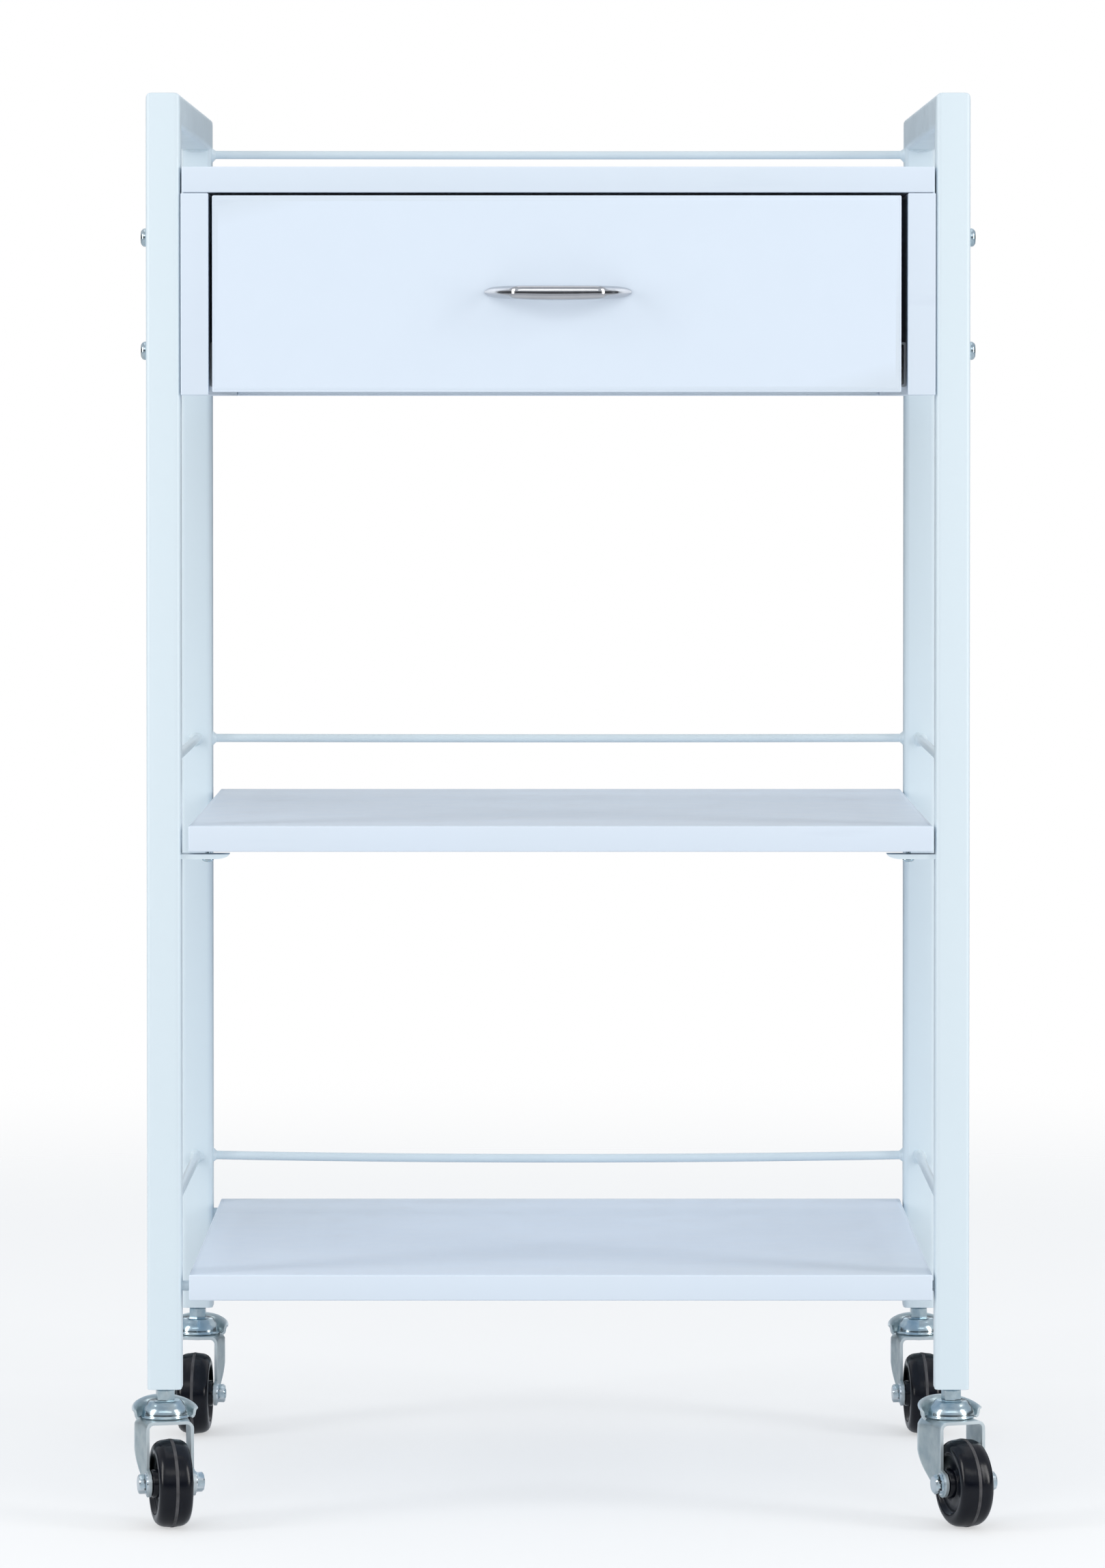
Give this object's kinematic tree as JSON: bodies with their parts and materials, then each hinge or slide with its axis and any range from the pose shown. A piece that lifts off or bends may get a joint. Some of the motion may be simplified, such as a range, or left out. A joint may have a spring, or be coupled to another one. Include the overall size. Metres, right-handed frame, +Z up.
{
  "type": "mobile printer stand",
  "caption": "White tube-frame trolley with open shelves, raised side handles, a top cabinet with a pull-out drawer, wire gallery rails and swivel casters.",
  "frame": {"origin": "on the floor, under the middle of the overall box", "axes": "+Z up, +X to the right seen from the drawer's side, +Y from the drawer's side to the back"},
  "size_m": [0.5073, 0.3943, 0.835],
  "materials": {
    "powder_coat": "white powder coat, semi-gloss",
    "white_board": "white melamine-faced board, satin",
    "drawer_board": "white foil-wrapped board, matt",
    "zinc": "bright zinc plate",
    "chrome": "polished",
    "rail_steel": "white epoxy coat",
    "nylon": "satin",
    "wheel": "hard, semi-gloss"
  },
  "bodies": {
    "frame": {"handle_bar_left": "powder_coat", "post_front_left": "powder_coat", "post_rear_left": "powder_coat", "handle_bar_right": "powder_coat", "post_front_right": "powder_coat", "post_rear_right": "powder_coat", "back_rod_top": "powder_coat", "back_rod_mid": "powder_coat", "back_rod_lower": "powder_coat", "side_rod_mid_left": "powder_coat", "side_rod_lower_left": "powder_coat", "side_rod_mid_right": "powder_coat", "side_rod_lower_right": "powder_coat", "top_board": "white_board", "mid_shelf": "white_board", "lower_shelf": "white_board", "cabinet_back": "white_board", "cabinet_side_left": "white_board", "cabinet_side_right": "white_board", "cabinet_bolt_front_left_low": "zinc", "cabinet_bolt_front_left_high": "zinc", "cabinet_bolt_rear_left_low": "zinc", "cabinet_bolt_rear_left_high": "zinc", "cabinet_bolt_front_right_low": "zinc", "cabinet_bolt_front_right_high": "zinc", "cabinet_bolt_rear_right_low": "zinc", "cabinet_bolt_rear_right_high": "zinc", "slide_rail_left": "rail_steel", "slide_rail_right": "rail_steel", "stem_bearing_front_left": "zinc", "stem_bearing_front_right": "zinc", "stem_bearing_rear_left": "zinc", "stem_bearing_rear_right": "zinc"},
    "drawer": {"drawer_rail_left": "rail_steel", "drawer_rail_right": "rail_steel", "drawer_front": "white_board", "drawer_back": "drawer_board", "drawer_bottom": "drawer_board", "drawer_side_left": "drawer_board", "drawer_side_right": "drawer_board", "drawer_pull": "chrome", "pull_screw_left": "zinc", "pull_screw_right": "zinc"},
    "slide_roller_left": {"slide_roller_left": "nylon"},
    "drawer_roller_left": {"drawer_roller_left": "nylon"},
    "slide_roller_right": {"slide_roller_right": "nylon"},
    "drawer_roller_right": {"drawer_roller_right": "nylon"},
    "caster_front_left": {"fork_front_left": "zinc", "axle_bolt_front_left": "zinc"},
    "wheel_front_left": {"wheel_front_left": "wheel"},
    "caster_front_right": {"fork_front_right": "zinc", "axle_bolt_front_right": "zinc"},
    "wheel_front_right": {"wheel_front_right": "wheel"},
    "caster_rear_left": {"fork_rear_left": "zinc", "axle_bolt_rear_left": "zinc"},
    "wheel_rear_left": {"wheel_rear_left": "wheel"},
    "caster_rear_right": {"fork_rear_right": "zinc", "axle_bolt_rear_right": "zinc"},
    "wheel_rear_right": {"wheel_rear_right": "wheel"}
  },
  "joints": [
    {"name": "drawer_slide", "type": "slide", "parent": "frame", "child": "drawer", "axis": [0, -1, 0], "range_m": [0, 0.225]},
    {"name": "slide_roller_left_spin", "type": "hinge", "parent": "frame", "child": "slide_roller_left", "pos_m": [-0.19795, -0.1345, 0.6745], "axis": [1, 0, 0], "range_deg": [-10, 1450]},
    {"name": "drawer_roller_left_spin", "type": "hinge", "parent": "drawer", "child": "drawer_roller_left", "pos_m": [-0.19795, 0.1415, 0.6745], "axis": [1, 0, 0], "range_deg": [-10, 1450]},
    {"name": "slide_roller_right_spin", "type": "hinge", "parent": "frame", "child": "slide_roller_right", "pos_m": [0.19795, -0.1345, 0.6745], "axis": [1, 0, 0], "range_deg": [-10, 1450]},
    {"name": "drawer_roller_right_spin", "type": "hinge", "parent": "drawer", "child": "drawer_roller_right", "pos_m": [0.19795, 0.1415, 0.6745], "axis": [1, 0, 0], "range_deg": [-10, 1450]},
    {"name": "swivel_front_left", "type": "hinge", "parent": "frame", "child": "caster_front_left", "pos_m": [-0.23, -0.153, 0.06], "axis": [0, 0, 1], "continuous": true},
    {"name": "roll_front_left", "type": "hinge", "parent": "caster_front_left", "child": "wheel_front_left", "pos_m": [-0.22561, -0.172, 0.02564], "axis": [0.9744, 0.225, 0], "continuous": true},
    {"name": "swivel_front_right", "type": "hinge", "parent": "frame", "child": "caster_front_right", "pos_m": [0.23, -0.153, 0.06], "axis": [0, 0, 1], "continuous": true},
    {"name": "roll_front_right", "type": "hinge", "parent": "caster_front_right", "child": "wheel_front_right", "pos_m": [0.23635, -0.17144, 0.02564], "axis": [0.9455, 0.3256, 0], "continuous": true},
    {"name": "swivel_rear_left", "type": "hinge", "parent": "frame", "child": "caster_rear_left", "pos_m": [-0.23, 0.177, 0.06], "axis": [0, 0, 1], "continuous": true},
    {"name": "roll_rear_left", "type": "hinge", "parent": "caster_rear_left", "child": "wheel_rear_left", "pos_m": [-0.23068, 0.15751, 0.02564], "axis": [0.9994, -0.0349, 0], "continuous": true},
    {"name": "swivel_rear_right", "type": "hinge", "parent": "frame", "child": "caster_rear_right", "pos_m": [0.23, 0.177, 0.06], "axis": [0, 0, 1], "continuous": true},
    {"name": "roll_rear_right", "type": "hinge", "parent": "caster_rear_right", "child": "wheel_rear_right", "pos_m": [0.23136, 0.15755, 0.02564], "axis": [0.9976, 0.0698, 0], "continuous": true}
  ],
  "couplings": [
    {"joint": "slide_roller_left_spin", "follows": "drawer_slide", "rad_per_m": 111.11},
    {"joint": "drawer_roller_left_spin", "follows": "drawer_slide", "rad_per_m": 111.11},
    {"joint": "slide_roller_right_spin", "follows": "drawer_slide", "rad_per_m": 111.11},
    {"joint": "drawer_roller_right_spin", "follows": "drawer_slide", "rad_per_m": 111.11}
  ]
}
